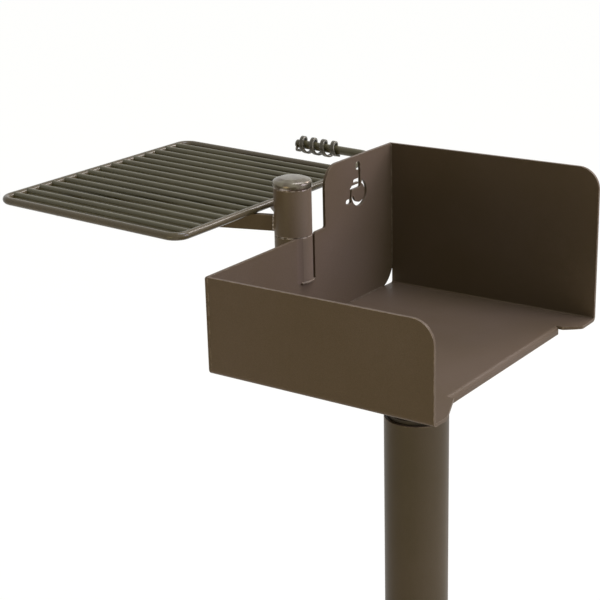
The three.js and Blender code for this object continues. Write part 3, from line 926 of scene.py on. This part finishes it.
# %% Sleeve cap
CAP_Z = 227.3
CAP_RADIUS = 31.3
CAP_SIDE = 6.4
SHOULDER = 6.5
CAP_SIDES = 72
POINT = 0.01  # the radius that stands for none, so that no ring is a single point

profile = [(0, 0), (30.6, 0), (CAP_RADIUS, 0.7), (CAP_RADIUS, CAP_SIDE)]
profile += arc(CAP_RADIUS - SHOULDER, CAP_SIDE, SHOULDER, 8, 76, 7)
profile += [(21.6, 14.4), (20.2, 15.0), (18.6, 15.2), (12, 15.7), (6, 15.9), (0, 16)]
rings = []
for r, z in profile:
    ring = circle(POST_X, POST_Y, max(r, POINT), CAP_SIDES)
    rings.append([in_box(x, y, CAP_Z + z) for x, y in ring])
cap = piece_from("domed_cap", *lofted(rings), "grate_arm", worn_and_lit_cap, "coated_steel")
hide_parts("sleeve_cap")
print("cap rings", len(rings))

# %% [markdown]
# Weld beads join what the frame leaves a hair apart, under the same coat as the
# plates. On the wall's inner side, the corner between socket and plate is filled
# and ground to a smooth slope, drawn here in plan.

# %% Socket fillet
SLOPE_START = 224
SLOPE_LENGTH = 13.2
SLOPE_RISE = 2.6
SLOPE_POWER = 2.2
SLOPE_STEPS = 12
FILLET_LOW, FILLET_HIGH = 76.5, LOW - 0.4

slope = [(4.7, 222)]
for i in range(SLOPE_STEPS + 1):
    t = i / SLOPE_STEPS
    slope.append((4.8 + SLOPE_RISE * t**SLOPE_POWER, SLOPE_START + SLOPE_LENGTH * t))
slope += [(4, 238), (1, 234), (1, 226)]
plans = [[in_box(x, y, z) for x, y in slope] for z in (FILLET_LOW, FILLET_HIGH)]
piece_from("socket_fillet", *lofted(plans), "firebox", filled_coat, "coated_steel", smooth=False)
print("fillet points", len(slope))

# %% [markdown]
# The seams inside the box run along the floor, the front and the rear panel. One
# more lies under the socket, and one round the spindle below the floor.

# %% Firebox welds
DOUBLER = 6.35
SEAM_X = PLATE + 0.3
SEAM_OUT = 0.4
SEAM_BEAD, SEAM_RIPPLE = 1.2, 0.08
SOCKET_SEAM_Z = 76.2
SPINDLE_SEAM_Z = -FIT_GAP - DOUBLER - 1.0
SPINDLE_SEAM_RADIUS = 36.9

under_socket = arc(POST_X, POST_Y, SLEEVE_RADIUS, -34, 34, 12)
socket_seam = [in_box(x, y, SOCKET_SEAM_Z) for x, y in under_socket]
floor_seam = [in_box(SEAM_X, y, PLATE + SEAM_OUT) for y in (12, 470)]
front_seam = [in_box(SEAM_X, PLATE + SEAM_OUT, z) for z in (9, 80, 147)]
rear_seam = [in_box(SEAM_X, BOX_DEPTH - PLATE - SEAM_OUT, z) for z in (34, 120, 247)]
under_floor = circle(PEDESTAL_X, PEDESTAL_Y, SPINDLE_SEAM_RADIUS, 64)
spindle_seam = [in_box(x, y, SPINDLE_SEAM_Z) for x, y in under_floor]
seams = [weld_line(socket_seam, 2.4)]
seams += [weld_line(line, SEAM_BEAD, SEAM_RIPPLE) for line in (floor_seam, front_seam, rear_seam)]
seams.append(weld_line(spindle_seam, 2.8, closed=True))
piece_from("firebox_welds", *joined(seams), "firebox", weld_coat, "coated_steel")
print("firebox seams", len(seams))

# %% [markdown]
# Each arm meets the sleeve with a bead down both faces and one over its top, which
# the photograph shows bright. The pipe's foot and the handle's end have a bead all
# the way round.

# %% Arm, foot and handle welds
ARMS = ((-1, 22), (1, 41))  # front and rear: side, and degrees out from the grate's axis
BEAD_RADIUS = 30.4
BEAD_OFFSET = 5.2
BEAD_HEIGHTS = (-9, -20, -30)
TOP_BEAD_RADIUS = 30.6
TOP_BEAD_Z = -7.6
TOP_BEAD_HALF = 15
FOOT_BEAD_RADIUS, FOOT_BEAD_Z = 51.2, 13.4
LEG_BEAD_SINK = 0.6
LEG_BEAD_SAG = 1.8
LEG_BEAD_FLAT = 0.8

arm_seams = []
for side, spread in ARMS:
    turn_out = math.radians(spread)
    for face in (-1, 1):
        offset = face * BEAD_OFFSET
        along = math.sqrt(BEAD_RADIUS**2 - offset**2)
        x = -along * math.cos(turn_out) + side * offset * math.sin(turn_out)
        y = side * along * math.sin(turn_out) + offset * math.cos(turn_out)
        arm_seams.append(weld_line([on_deck(x, y, z) for z in BEAD_HEIGHTS], 1.9))
    middle = 180 - side * spread
    over = arc(0, 0, TOP_BEAD_RADIUS, middle - TOP_BEAD_HALF, middle + TOP_BEAD_HALF, 8)
    arm_seams.append(weld_line([on_deck(x, y, TOP_BEAD_Z) for x, y in over], 1.7, ripple=0.3))
# The arm beads' near white specks are painted glints.
piece_from("arm_welds", *joined(arm_seams), "grate_arm", bare_weld_with_glints, "coated_steel")

foot_ring = [Vector((x, y, FOOT_BEAD_Z)) * MM for x, y in circle(0, 0, FOOT_BEAD_RADIUS, 96)]
foot_bead = weld_line(foot_ring, 3.6, closed=True)
piece_from("foot_weld", *foot_bead, "pedestal", weld_coat, "coated_steel")
leg_ring = []
for x, z in circle(LEG_X, 0, HANDLE_ROD, 24):
    y = GRATE_REAR + ROD - LEG_BEAD_SINK - abs(z) / HANDLE_ROD * LEG_BEAD_SAG
    leg_ring.append(on_deck(x, y, z * LEG_BEAD_FLAT))
leg_bead = weld_line(leg_ring, 1.5, closed=True)
piece_from("handle_weld", *leg_bead, "grate_arm", olive_coat, "coated_bar")
print("arm seams", len(arm_seams))
